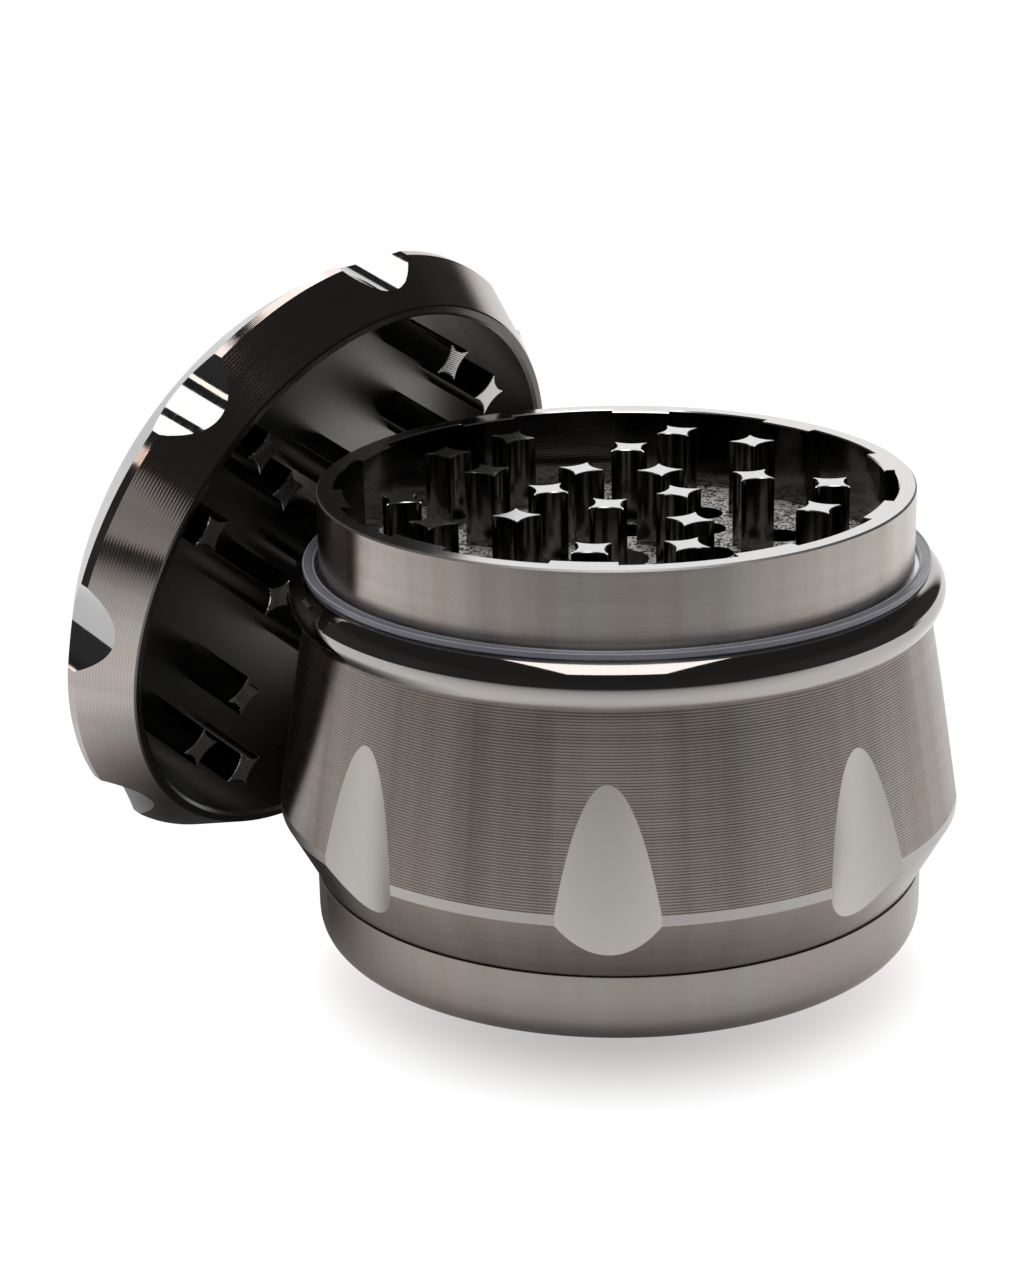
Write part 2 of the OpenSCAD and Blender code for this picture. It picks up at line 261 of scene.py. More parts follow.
# clear nylon: mostly see-through, with a faint blue cast
def nylonMaterial(name, low, high, clear):
    material, tree, shader = newMaterial(name)
    cloud = grain(tree, 320, point=objectPlace(tree))
    inputs = {"Factor": cloud, "A": (*low, 1), "B": (*high, 1)}
    mixed = addNode(tree, "ShaderNodeMix", inputs, data_type="RGBA")
    tree.links.new(mixed.outputs["Result"], shader.inputs["Base Color"])
    tree.links.new(remap(tree, cloud, 0.3, 0.7, 0.16, 0.26), shader.inputs["Roughness"])
    shader.inputs["Transmission Weight"].default_value = clear
    shader.inputs["IOR"].default_value = 1.5
    return material


# plain-woven wire: two sets of rounded wires, one over the other, with painted shade where they dip
weave = {
    "tone": (0.72, 0.71, 0.69),
    "pitch": 0.28,
    "depth": 0.05,
    "roughness": 0.35,
}


def wovenMaterial():
    material, tree, shader = newMaterial("wovenWire")
    axes = addNode(tree, "ShaderNodeSeparateXYZ", {0: objectPlace(tree)})
    waves = []
    for axis in (0, 1):
        phase = calc(tree, "MULTIPLY", axes.outputs[axis], fullTurn / (weave["pitch"] * mm))
        waves.append(calc(tree, "ABSOLUTE", calc(tree, "SINE", phase)))
    height = calc(tree, "MAXIMUM", *waves)
    # painted shade: the tone falls nearly to black down between the wires
    colourMetal(tree, shader, weave["tone"], remap(tree, height, 0.55, 0.95, 0.05, 0.9))
    addBump(tree, shader, height, weave["depth"])
    shader.inputs["Roughness"].default_value = weave["roughness"]
    return material


# every finish, by the name that the faces of a piece carry
finish = {
    "cone": turnedMetal("turnedCone", plate["coneTone"], 0.30, 0.004, plate["coneFeed"], stretch=1.0,
                        shade=0.36, reflectionBands=0.18),
    "taper": turnedMetal("turnedTaper", plate["taperShadeTone"], 0.24, 0.0012, plate["coneFeed"], stretch=0.7,
                         reflectionBands=0.10),
    "edge": turnedMetal("polishedEdge", plate["tone"], 0.20),
    "seam": turnedMetal("seamEdge", plate["paintedLightTone"], 0.45),
    "flute": grainedMetal("milledFlute", plate["fluteLitTone"], 0.42, 0.0, 6000),
    "bore": turnedMetal("turnedBore", plate["tone"], 0.30, 0.002, plate["coneFeed"]),
    "bowl": turnedMetal("satinBowl", plate["bowlShadeTone"], 0.30, 0.0003, stretch=0.6, shade=0.015, reflectionBands=0.04),
    "collar": turnedMetal("brushedCollar", plate["collarLitTone"], 0.25, 0.0002, stretch=1.0, shade=0.012,
                          reflectionBands=0.12),
    "bead": turnedMetal("mirrorBead", plate["tone"], 0.05, varied=0.01, shade=0.0),
    "beadUnder": turnedMetal("satinBeadUnder", plate["tone"], 0.12, shade=0.0),
    "rim": turnedMetal("polishedRim", plate["rimHighlightTone"], 0.16),
    "rimEase": turnedMetal("satinRimEase", plate["paintedLightTone"], 0.50),
    "wall": turnedMetal("chamberWall", plate["paintedShadeTone"], 0.12, 0.0004, plate["coneFeed"]),
    "floor": blastedMetal("blastedFloor", plate["paintedLightTone"], 0.66, 0.06, plate["blastGrains"]),
    "toothSide": grainedMetal("toothSide", plate["paintedShadeTone"], 0.16, 0.001, 1500),
    "toothTop": grainedMetal("toothTop", plate["toothHighlightTone"], 0.22, 0.002, 4200),
    "lidSide": turnedMetal("lidSide", plate["lidTone"], 0.10, 0.0011, plate["lidFeed"], stretch=0.3,
                           shade=0.08, reflectionBands=0.1),
    "lidBevel": turnedMetal("lidBevel", plate["bevelTone"], 0.22, 0.0002),
    "lidFlute": grainedMetal("lidFlute", plate["lidFluteTone"], 0.06, 0.0, 1500),
    "lidInside": turnedMetal("lidInside", plate["insideShadeTone"], 0.16, 0.0004, plate["coneFeed"]),
    "lidCeiling": grainedMetal("lidCeiling", plate["ceilingShadeTone"], 0.36, 0.004, 3600),
    "lidTip": turnedMetal("lidTip", plate["paintedLightTone"], 0.26, 0.004, plate["lidFeed"], shade=0.7,
                          across=1.0),
    "lidRim": turnedMetal("lidRim", plate["paintedShadeTone"], 0.2),
    "nylon": nylonMaterial("nylon", (0.56, 0.58, 0.69), (0.68, 0.70, 0.80), 0.5),
    # painted highlight: a lighter, less clear nylon along the ring's lips and edges
    "nylonEdge": nylonMaterial("nylonEdge", (0.74, 0.76, 0.88), (0.86, 0.88, 0.96), 0.2),
    "mesh": wovenMaterial(),
    "nickel": grainedMetal("nickel", (0.72, 0.71, 0.68), 0.22, 0.002, 2600),
}
print("finishes made:", len(finish))


# gathers faces with welded points; each face carries the name of its finish
class MeshMaker:
    def __init__(self):
        self.points, self.faces, self.kinds, self.seen = [], [], [], {}

    def point(self, x, y, z):
        key = (round(x, 5), round(y, 5), round(z, 5))
        if key not in self.seen:
            self.seen[key] = len(self.points)
            self.points.append((x * mm, y * mm, z * mm))
        return self.seen[key]

    def face(self, corners, kind):
        kept = [c for i, c in enumerate(corners) if c != corners[i - 1]]
        if len(set(kept)) == len(kept) > 2:
            self.faces.append(kept)
            self.kinds.append(kind)

    def build(self, name, sharpAngle, place=None):
        mesh = bpy.data.meshes.new(name)
        mesh.from_pydata(self.points, [], self.faces)
        slots = sorted(set(self.kinds))
        for kind in slots:
            mesh.materials.append(finish[kind])
        for polygon, kind in zip(mesh.polygons, self.kinds):
            polygon.material_index = slots.index(kind)
        mesh.shade_smooth()
        mesh.set_sharp_from_angle(angle=math.radians(sharpAngle))
        mesh.update()
        piece = bpy.data.objects.new(name, mesh)
        bpy.context.scene.collection.objects.link(piece)
        if place:
            piece.matrix_world = place
        return piece


def polar(radius, angle):
    return radius * math.cos(angle), radius * math.sin(angle)


def anglesRound(count):
    return [fullTurn * n / count for n in range(count)]


# skins a round body: one column of (radius, height, kind) per angle; a point's kind is that of the next face
def skinColumns(maker, angles, columns):
    rows = len(columns[0])
    for i, angle in enumerate(angles):
        after = (i + 1) % len(angles)
        for k in range(rows - 1):
            (r0, z0, kind), (r1, z1, _) = columns[i][k], columns[i][k + 1]
            (s0, w0, _), (s1, w1, _) = columns[after][k], columns[after][k + 1]
            corners = [maker.point(*polar(r0, angle), z0), maker.point(*polar(s0, angles[after]), w0),
                       maker.point(*polar(s1, angles[after]), w1), maker.point(*polar(r1, angle), z1)]
            maker.face(corners, kind)


# rounds the corners of an outline of (radius, height, kind, ease)
def easeCorners(outline, steps=4):
    eased = []
    for i, (r, z, kind, ease) in enumerate(outline):
        if not ease or i in (0, len(outline) - 1):
            eased.append((r, z, kind))
            continue
        here = Vector((r, z))
        back = (Vector(outline[i - 1][:2]) - here).normalized() * ease
        ahead = (Vector(outline[i + 1][:2]) - here).normalized() * ease
        for n in range(steps + 1):
            t = n / steps
            spot = here + back * (1 - t) ** 2 + ahead * t ** 2
            eased.append((spot.x, spot.y, outline[i - 1][2] if n == 0 else kind))
    return eased


def stepped(low, high, steps):
    return [low + (high - low) * n / steps for n in range(steps)]


# eight upright flutes, milled with a round cutter into the drum and into the lid
flutes = {
    "count": 8,
    "bottom": 29.63,
    "cutter": 7.3,
    "widest": 31.5,         # radius that the drum and the lid share
    "stepsAcross": 32,
    "stepsBetween": 22,
}


# (angle, radius at the widest, whether in a flute) of each column
def fluteColumns(firstTurn):
    centre = flutes["bottom"] + flutes["cutter"]
    edge = (flutes["widest"] ** 2 + centre ** 2 - flutes["cutter"] ** 2) / (2 * centre)
    halfAngle = math.acos(edge / flutes["widest"])
    halfCut = math.asin(flutes["widest"] * math.sin(halfAngle) / flutes["cutter"])
    found = []
    for n in range(flutes["count"]):
        middle = math.radians(firstTurn) + n * fullTurn / flutes["count"]
        for k in range(flutes["stepsAcross"] + 1):
            cut = halfCut * (2 * k / flutes["stepsAcross"] - 1)
            across, depth = flutes["cutter"] * math.sin(cut), centre - flutes["cutter"] * math.cos(cut)
            inFlute = k < flutes["stepsAcross"]
            found.append((middle + math.atan2(across, depth), math.hypot(across, depth), inFlute))
        gap = fullTurn / flutes["count"] - 2 * halfAngle
        for k in range(1, flutes["stepsBetween"]):
            found.append((middle + halfAngle + gap * k / flutes["stepsBetween"], flutes["widest"], False))
    return found


# catch bowl: plain satin wall, swept inside, neck with a screw thread
bowl = {
    "wallTop": 6.5,
    "edge": 2.4,
    "topEase": 0.05,
    "neck": 25.9,
    "neckWall": 1.6,
    "neckEase": 0.2,
    "floor": 1.8,
    "sweep": 3.0,
    "lean": 0.01,           # how far the wall leans in at its foot
    "segments": 240,
}


def makeBowl():
    outer, top = bowlHigh[0], bowlHigh[2]
    inner = bowl["neck"] - bowl["neckWall"]
    outline = [(0, 0, "bowl", 0), (outer - bowl["lean"], 0, "bowl", bowl["edge"]),
               (outer, bowl["wallTop"], "bowl", bowl["topEase"]), (bowl["neck"], bowl["wallTop"], "bore", 0),
               (bowl["neck"], top, "rim", bowl["neckEase"]), (inner, top, "bore", bowl["neckEase"]),
               (inner, bowl["floor"], "bowl", bowl["sweep"]), (0, bowl["floor"], "bowl", 0)]
    column = easeCorners(outline, steps=8)
    maker = MeshMaker()
    angles = anglesRound(bowl["segments"])
    skinColumns(maker, angles, [column] * len(angles))
    piece = maker.build("catchBowl", 28)
    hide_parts("catch_bowl")
    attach(piece, "base")


# sieve drum: taper, narrow polished edge and flared cone, cut by the flutes
drum = {
    "foot": 28.15,
    "taper": 6.1,
    "edge": 1.0,
    "coneTop": 28.6,
    "bore": 26.45,
    "ledge": 23.6,
    "ledgeTop": 12.8,
    "ledgeUnder": 11.3,
    "boreEase": 0.25,
    "ease": 0.06,
    "topEase": 0.1,
    "fluteTurn": -91.6,
    "rows": (6, 12, 16),
}


def makeDrum():
    low, high = drumLow[2], drumHigh[2]
    edgeHigh = low + drum["taper"] + drum["edge"]
    widest = flutes["widest"]
    angles, columns = [], []
    for angle, reach, inFlute in fluteColumns(drum["fluteTurn"]):
        cutLow = low + drum["taper"] * (reach - drum["foot"]) / (widest - drum["foot"])
        cutHigh = edgeHigh + (high - edgeHigh) * (widest - reach) / (widest - drum["coneTop"])
        footEase, topEase = low + drum["ease"], high - drum["topEase"]
        footR = drum["foot"] + (widest - drum["foot"]) * drum["ease"] / drum["taper"]
        topR = drum["coneTop"] + (widest - drum["coneTop"]) * drum["topEase"] / (high - edgeHigh)
        column = [(drum["bore"], low, "bore"), (drum["foot"] - drum["ease"] / 2, low, "taper")]
        for z in stepped(footEase, cutLow, drum["rows"][0]):
            column.append((footR + (reach - footR) * (z - footEase) / (cutLow - footEase), z, "taper"))
        for z in stepped(cutLow, cutHigh, drum["rows"][1]):
            column.append((reach, z, "flute" if inFlute else "edge"))
        for z in stepped(cutHigh, topEase, drum["rows"][2]):
            column.append((reach + (topR - reach) * (z - cutHigh) / (topEase - cutHigh), z, "cone"))
        column += [(topR, topEase, "seam"), (drum["coneTop"] - drum["topEase"], high, "seam"),
                   (drum["bore"] + drum["boreEase"], high, "rim"),
                   (drum["bore"], high - drum["boreEase"], "bore"),
                   (drum["bore"], drum["ledgeTop"], "bore"), (drum["ledge"], drum["ledgeTop"], "bore"),
                   (drum["ledge"], drum["ledgeUnder"], "bore"), (drum["bore"], drum["ledgeUnder"], "bore"),
                   (drum["bore"], low, "bore")]
        angles.append(angle)
        columns.append(column)
    maker = MeshMaker()
    skinColumns(maker, angles, columns)
    piece = maker.build("sieveDrum", 7)
    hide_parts("sieve_drum")
    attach(piece, "sieve")


# tooth chamber: threaded skirt, mirror bead, collar with lands and pockets, drilled floor
chamber = {
    "skirt": 25.9,
    "skirtIn": 24.3,
    "flange": 30.9,
    "bead": 2.15,
    "beadPath": 27.75,
    "underside": -27,       # below this turn the bead runs straight down to the drum
    "beadSteps": 28,
    "seatEase": 0.05,
    "boreTo": 26.3,
    "collar": 27.05,
    "chamfer": 0.16,
    "pocket": 25.45,
    "land": 24.6,
    "lands": 10,
    "landAngle": 13,
    "turn": 12,
    "floor": 2.5,
    "magnetHole": 3.05,
    "magnetDepth": 1.6,
    "magnetSegments": 48,
    "hole": 2.0,
    "holeSegments": 40,
    "holeCopies": 5,
    "holeRings": ((9.0, 10), (12.6, 48), (16.8, 24), (16.6, -12)),
    "innerEase": 0.12,
}


# fills a flat outline at one height, leaving round holes of (x, y, radius, segments) open
def fillFlat(maker, boundary, height, holes, kind, upwards):
    points = [Vector((x, y)) for x, y in boundary]
    loop = list(range(len(points)))
    edges = []
    for x, y, radius, segments in holes:
        first = len(points)
        for n in range(segments):
            dx, dy = polar(radius, fullTurn * n / segments)
            points.append(Vector((x + dx, y + dy)))
            edges.append((first + n, first + (n + 1) % segments))
    found, _, faces, _, _, _ = delaunay_2d_cdt(points, edges, [loop], 1, 1e-6)
    for face in faces:
        middle = sum((found[i] for i in face), Vector((0, 0))) / len(face)
        if any((middle.x - x) ** 2 + (middle.y - y) ** 2 < radius ** 2 for x, y, radius, _ in holes):
            continue
        corners = [maker.point(found[i].x, found[i].y, height) for i in face]
        maker.face(corners if upwards else corners[::-1], kind)


def wellWall(maker, hole, low, high, kind):
    x, y, radius, segments = hole
    for n in range(segments):
        ax, ay = polar(radius, fullTurn * n / segments)
        bx, by = polar(radius, fullTurn * (n + 1) / segments)
        maker.face([maker.point(x + bx, y + by, low), maker.point(x + ax, y + ay, low),
                    maker.point(x + ax, y + ay, high), maker.point(x + bx, y + by, high)], kind)


# upright section of the chamber, from the skirt out over the bead and down the inside of the collar
def chamberColumn(inner):
    top, flange, seatEase = chamberHigh[2], chamber["flange"], chamber["seatEase"]
    bead, beadPath, steps = chamber["bead"], chamber["beadPath"], chamber["beadSteps"]
    shoulder = flange + 2 * bead
    column = [(chamber["skirtIn"], teethLow[2] - chamber["floor"], "bore"),
              (chamber["skirtIn"], chamberLow[2], "bore"), (chamber["skirt"], chamberLow[2], "bore"),
              (chamber["skirt"], flange, "bore"), (chamber["boreTo"], flange, "beadUnder")]
    first = math.radians(chamber["underside"])
    drop = (bead * math.sin(first) + bead - seatEase) / math.cos(first)
    seat = beadPath + bead * math.cos(first) + drop * math.sin(first)
    column += [(seat - seatEase, flange, "beadUnder"), (seat, flange + seatEase, "beadUnder")]
    for n in range(steps):
        swing = first + (math.pi / 2 - first) * n / steps
        column.append((beadPath + bead * math.cos(swing), flange + bead + bead * math.sin(swing), "bead"))
    collar, chamfer, innerEase = chamber["collar"], chamber["chamfer"], chamber["innerEase"]
    column += [(beadPath, shoulder, "rim"), (collar, shoulder, "collar"), (collar, top - chamfer, "rimEase"),
               (collar - chamfer, top, "rim"), (inner + innerEase, top, "rim"),
               (inner, top - innerEase, "wall"), (inner, teethLow[2], "floor")]
    return column


# a closed outline without the points that repeat their neighbour
def closedLoop(spots, nearest=1e-4):
    kept = []
    for spot in spots:
        if not kept or math.dist(spot, kept[-1]) > nearest:
            kept.append(spot)
    return kept[:-1] if math.dist(kept[0], kept[-1]) < nearest else kept


def collarColumns():
    step, land = fullTurn / chamber["lands"], math.radians(chamber["landAngle"])
    start = math.radians(chamber["turn"]) - land / 2
    stretches = ((start, start + land, chamber["land"]), (start + land, start + step, chamber["pocket"]))
    angles, columns = [], []
    for n in range(chamber["lands"]):
        for first, last, inner in stretches:
            count = round(math.degrees(last - first))
            for k in range(count + 1):
                angles.append(first + (last - first) * k / count + n * step)
                columns.append(chamberColumn(inner))
    return angles, columns


def makeChamber():
    angles, columns = collarColumns()
    maker = MeshMaker()
    skinColumns(maker, angles, columns)
    magnetHole = (0, 0, chamber["magnetHole"], chamber["magnetSegments"])
    copies = chamber["holeCopies"]
    holes = []
    for radius, turn in chamber["holeRings"]:
        for n in range(copies):
            spot = polar(radius, math.radians(turn + 360 / copies * n))
            holes.append((*spot, chamber["hole"], chamber["holeSegments"]))
    floor = teethLow[2]
    under, magnetFloor = floor - chamber["floor"], floor - chamber["magnetDepth"]
    edge = closedLoop([polar(column[-1][0], angle) for angle, column in zip(angles, columns)])
    fillFlat(maker, edge, floor, [magnetHole] + holes, "floor", True)
    skirtEdge = closedLoop([polar(chamber["skirtIn"], angle) for angle in angles])
    fillFlat(maker, skirtEdge, under, holes, "bore", False)
    for hole in holes:
        wellWall(maker, hole, under, floor, "wall")
    wellWall(maker, magnetHole, magnetFloor, floor, "wall")
    ring = [polar(chamber["magnetHole"], angle) for angle in anglesRound(chamber["magnetSegments"])]
    maker.face([maker.point(x, y, magnetFloor) for x, y in ring], "wall")
    piece = maker.build("toothChamber", 30)
    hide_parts("tooth_chamber")
    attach(piece, "chamber")


# milled teeth: four hollow flanks between sharp points, eased at the top
teeth = {
    "half": 1.55,
    "point": 0.08,
    "hollow": 0.4,
    "flankSteps": 10,
    "topEase": 0.08,
    "rise": 0.2,            # how far the chamber's teeth stand above their node
    "chamberRings": ((6.2, (-24,), 5), (12.9, (12,), 5), (19.5, (-24, 0), 5)),
    "lidRings": ((9.55, (3,), 4), (16.2, (44,), 4), (22.8, (43, 65), 4)),
}


def toothPlan():
    half, reach, hollow = teeth["half"], teeth["half"] - teeth["point"], teeth["hollow"]
    radius = (reach ** 2 + hollow ** 2) / (2 * hollow)
    spread = math.asin(reach / radius)
    plan = []
    for side in range(4):
        turn = side * math.pi / 2
        for k in range(teeth["flankSteps"] + 1):
            swing = spread * (2 * k / teeth["flankSteps"] - 1)
            x, y = half - hollow + radius * (1 - math.cos(swing)), radius * math.sin(swing)
            plan.append((x * math.cos(turn) - y * math.sin(turn), x * math.sin(turn) + y * math.cos(turn)))
        plan.append((half * (math.cos(turn) - math.sin(turn)), half * (math.sin(turn) + math.cos(turn))))
    return plan


def makeTeeth(name, node, body, rings, low, high, tip, place=None):
    maker = MeshMaker()
    plan, ease = toothPlan(), teeth["topEase"]
    shrink = 1 - ease / teeth["half"]
    for ringRadius, turns, copies in rings:
        for turn in (t + 360 / copies * n for t in turns for n in range(copies)):
            spin = Matrix.Rotation(math.radians(turn), 2)
            levels = []
            for scale, z in ((1, low), (1, high - ease), (shrink, high)):
                spots = [spin @ Vector((ringRadius + x * scale, y * scale)) for x, y in plan]
                levels.append([maker.point(s.x, s.y, z) for s in spots])
            for lower, upper, kind in ((levels[0], levels[1], "toothSide"), (levels[1], levels[2], tip)):
                for k in range(len(plan)):
                    after = (k + 1) % len(plan)
                    maker.face([lower[k], lower[after], upper[after], upper[k]], kind)
            maker.face(levels[2], tip)
            maker.face(levels[0][::-1], "toothSide")
    piece = maker.build(name, 25, place)
    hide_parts(node)
    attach(piece, body)


# nylon ring: a shallow channel between two softened lips
ringShape = {
    "bore": 27.5,
    "outer": 28.55,
    "lip": 0.16,
    "slope": 0.1,           # from a lip down into the channel
    "dip": 0.14,
    "outerChamfer": 0.06,
    "lipDrop": 0.02,        # from the outer edge to the inner side of its lip
    "boreDrop": 0.05,
    "boreFootEase": 0.08,
    "outerFootEase": 0.12,
    "sideEase": 0.02,
    "ease": 0.03,
    "segments": 240,
}


def makeRing():
    bore, outer = ringShape["bore"], ringShape["outer"]
    low, high = ringLow[2], ringHigh[2]
    lip, slope, ease = ringShape["lip"], ringShape["slope"], ringShape["ease"]
    channel, boreTop = high - ringShape["dip"], high - ringShape["boreDrop"]
    chamfer, middle = ringShape["outerChamfer"], (low + high) / 2
    outline = [(bore, middle, "nylon", 0), (bore, low, "nylon", ringShape["boreFootEase"]),
               (outer, low, "nylon", ringShape["outerFootEase"]),
               (outer, high - chamfer, "nylonEdge", ringShape["sideEase"]),
               (outer - chamfer, high, "nylonEdge", ease),
               (outer - lip, high - ringShape["lipDrop"], "nylon", ease),
               (outer - lip - slope, channel, "nylon", ease),
               (bore + lip + slope, channel, "nylon", ease), (bore + lip, boreTop, "nylonEdge", ease),
               (bore, boreTop, "nylonEdge", ease), (bore, middle, "nylon", 0)]
    maker = MeshMaker()
    angles = anglesRound(ringShape["segments"])
    skinColumns(maker, angles, [easeCorners(outline)] * len(angles))
    piece = maker.build("nylonRing", 40)
    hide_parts("friction_ring")
    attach(piece, "chamber_lift")


# screw thread: a low ridge wound round a plain core
thread = {
    "pitch": 1.5,
    "height": 0.42,
    "foot": 0.9,
    "crest": 0.3,
    "sunk": 0.1,            # how far the ridge's foot goes into the core
    "neckFrom": 0.9,        # above the bowl's wall
    "neckTurns": 2.0,
    "skirtFrom": 0.6,       # above the skirt's lower edge
    "skirtTurns": 2.2,
    "stepsPerTurn": 96,
    "fadeSteps": 16,
}


def makeThread(name, body, core, low, turns):
    maker = MeshMaker()
    steps = round(turns * thread["stepsPerTurn"])
    inner, foot, flat = core - thread["sunk"], thread["foot"] / 2, thread["crest"] / 2
    rings = []
    for k in range(steps + 1):
        turn = k / thread["stepsPerTurn"]
        fade = min(1, k / thread["fadeSteps"], (steps - k) / thread["fadeSteps"])
        angle, z = fullTurn * turn, low + thread["pitch"] * turn
        crest = core + thread["height"] * fade
        section = ((inner, -foot), (crest, -flat), (crest, flat), (inner, foot))
        rings.append([maker.point(*polar(r, angle), z + dz) for r, dz in section])
    for before, after in zip(rings, rings[1:]):
        for k in range(4):
            maker.face([before[k], after[k], after[(k + 1) % 4], before[(k + 1) % 4]], "bore")
    maker.face(rings[0], "bore")
    maker.face(rings[-1][::-1], "bore")
    piece = maker.build(name, 30)
    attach(piece, body)


# the lid, built mouth upwards round its own axis and carried to where it leans
lid = {
    "top": 27.2,
    "height": 10.2,
    "bevel": 4.4,
    "taper": 4.9,
    "mouth": 28.35,
    "bore": 27.35,
    "mouthChamfer": 0.3,
    "depth": 8.0,
    "toothBack": 0.6,
    "boss": 4.0,
    "bossBack": 1.2,
    "bossEase": 0.2,
    "magnetHole": 3.05,
    "magnetDepth": 1.6,
    "ease": 0.15,
    "rows": (8, 10, 8),
}


def lidPlace():
    joint = joints["lid_turn"]
    along = Vector(joint["axis"]).normalized()
    side = Vector((-along.y, along.x, 0)).normalized()
    down = side.cross(along)
    turned = Matrix((down, side, along)).transposed().to_4x4()
    return Matrix.Translation(Vector(joint["pos_m"])) @ turned


def makeLid(place):
    widest, back, ease = flutes["widest"], -lid["height"], lid["ease"]
    backR = lid["top"] + ease * (widest - lid["top"]) / lid["bevel"]
    mouthR = lid["mouth"] + ease * (widest - lid["mouth"]) / lid["taper"]
    bossTop = -lid["bossBack"]
    magnetFloor = bossTop - lid["magnetDepth"]
    angles, columns = [], []
    for angle, reach, inFlute in fluteColumns(0):
        cutLow = back + lid["bevel"] * (reach - lid["top"]) / (widest - lid["top"])
        cutHigh = -lid["taper"] * (reach - lid["mouth"]) / (widest - lid["mouth"])
        column = [(0, back, "lidBevel"), (lid["top"] - ease, back, "lidBevel")]
        for z in stepped(back + ease, cutLow, lid["rows"][0]):
            share = (z - back - ease) / (cutLow - back - ease)
            column.append((backR + (reach - backR) * share, z, "lidBevel"))
        for z in stepped(cutLow, cutHigh, lid["rows"][1]):
            column.append((reach, z, "lidFlute" if inFlute else "lidSide"))
        for z in stepped(cutHigh, -ease, lid["rows"][2]):
            share = (z - cutHigh) / (-ease - cutHigh)
            column.append((reach + (mouthR - reach) * share, z, "lidSide"))
        column += [(mouthR, -ease, "lidRim"), (lid["mouth"] - ease / 2, 0, "lidRim"),
                   (lid["bore"] + lid["mouthChamfer"], 0, "lidRim"),
                   (lid["bore"], -lid["mouthChamfer"], "lidInside"),
                   (lid["bore"], -lid["depth"], "lidCeiling"),
                   (lid["boss"], -lid["depth"], "lidInside"),
                   (lid["boss"], bossTop - lid["bossEase"], "rim"),
                   (lid["boss"] - lid["bossEase"], bossTop, "rim"),
                   (lid["magnetHole"], bossTop, "wall"),
                   (lid["magnetHole"], magnetFloor, "wall"), (0, magnetFloor, "wall")]
        angles.append(angle)
        columns.append(column)
    maker = MeshMaker()
    skinColumns(maker, angles, columns)
    piece = maker.build("lidCap", 7, place)
    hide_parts("lid_cap")
    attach(piece, "lid")


makeBowl()
makeDrum()
makeChamber()
makeTeeth("chamberTeeth", "chamber_teeth", "chamber", teeth["chamberRings"],
          teethLow[2], teethHigh[2] + teeth["rise"], "toothTop")
makeRing()
neckFrom, skirtFrom = bowl["wallTop"] + thread["neckFrom"], chamberLow[2] + thread["skirtFrom"]
makeThread("neckThread", "base", bowl["neck"], neckFrom, thread["neckTurns"])
makeThread("skirtThread", "chamber", chamber["skirt"], skirtFrom, thread["skirtTurns"])
print("drum pieces made")
leaning = lidPlace()
makeLid(leaning)
makeTeeth("lidTeeth", "lid_teeth", "lid", teeth["lidRings"],
          -lid["depth"], -lid["toothBack"], "lidTip", leaning)
print("lid made")


# nodes whose shape is right take a finish only
def refinish(node, kind):
    nodes[node].data.materials.clear()
    nodes[node].data.materials.append(finish[kind])
    for polygon in nodes[node].data.polygons:
        polygon.material_index = 0


refinish("mesh_screen", "mesh")
for nickelNode in ("screen_ring", "chamber_magnet", "lid_magnet"):
    refinish(nickelNode, "nickel")
print("small parts finished")


# round white table; it glows, with a soft shadow in front of the foot and under the lid
table = {
    "radius": 215,
    "segments": 96,
    "seen": 1.06,           # brightness for the camera
    "mirrored": 0.95,       # brightness in polished metal
    "foot": 26.5,           # the shadow starts under the bowl's edge
    "seenWidth": 17,
    "seenDepth": 0.53,
    "mirroredWidth": 12,
    "mirroredDepth": 0.87,
    "shadowTint": (1.0, 0.968, 0.958),
    "fallFrom": -30,        # in mirrors the table darkens towards the camera
    "fallTo": -165,
    "fallLeft": 0.06,
    "lidShade": (-30, 14, 0),
    "lidShadeFrom": 15,
    "lidShadeTo": 43,
    "lidShadeLeft": 0.04,
}


# brightness on the table for the camera, that in mirrors, and nearness to the foot
def tableLight(tree):
    place, foot = objectPlace(tree), table["foot"] * mm
    axes = addNode(tree, "ShaderNodeSeparateXYZ", {0: place})
    radius = addNode(tree, "ShaderNodeVectorMath", {0: place}, operation="LENGTH").outputs["Value"]
    front = remap(tree, facingFront(tree, axes, radius), 0.1, 1.0, 0.0, 1.0)
    wide = calc(tree, "ADD", foot, calc(tree, "MULTIPLY", front, table["seenWidth"] * mm))
    near = softStep(tree, radius, foot, wide, 1, 0)
    nearMirrored = softStep(tree, radius, foot, foot + table["mirroredWidth"] * mm, 1, 0)
    shadow = calc(tree, "MULTIPLY", calc(tree, "MULTIPLY", near, front), table["seenDepth"])
    mirrored = calc(tree, "MULTIPLY", calc(tree, "MULTIPLY", nearMirrored, front), table["mirroredDepth"])
    fall = remap(tree, axes.outputs[1], table["fallTo"] * mm, table["fallFrom"] * mm, table["fallLeft"], 1.0)
    fromLid = {0: place, 1: [c * mm for c in table["lidShade"]]}
    toLid = addNode(tree, "ShaderNodeVectorMath", fromLid, operation="DISTANCE").outputs["Value"]
    lidFrom, lidTo = table["lidShadeFrom"] * mm, table["lidShadeTo"] * mm
    underLid = softStep(tree, toLid, lidFrom, lidTo, table["lidShadeLeft"], 1.0)
    unshaded = calc(tree, "MULTIPLY", calc(tree, "SUBTRACT", 1, mirrored), fall)
    lit = calc(tree, "MULTIPLY", calc(tree, "SUBTRACT", 1, shadow), table["seen"])
    dim = calc(tree, "MULTIPLY", calc(tree, "MULTIPLY", unshaded, underLid), table["mirrored"])
    return lit, dim, near


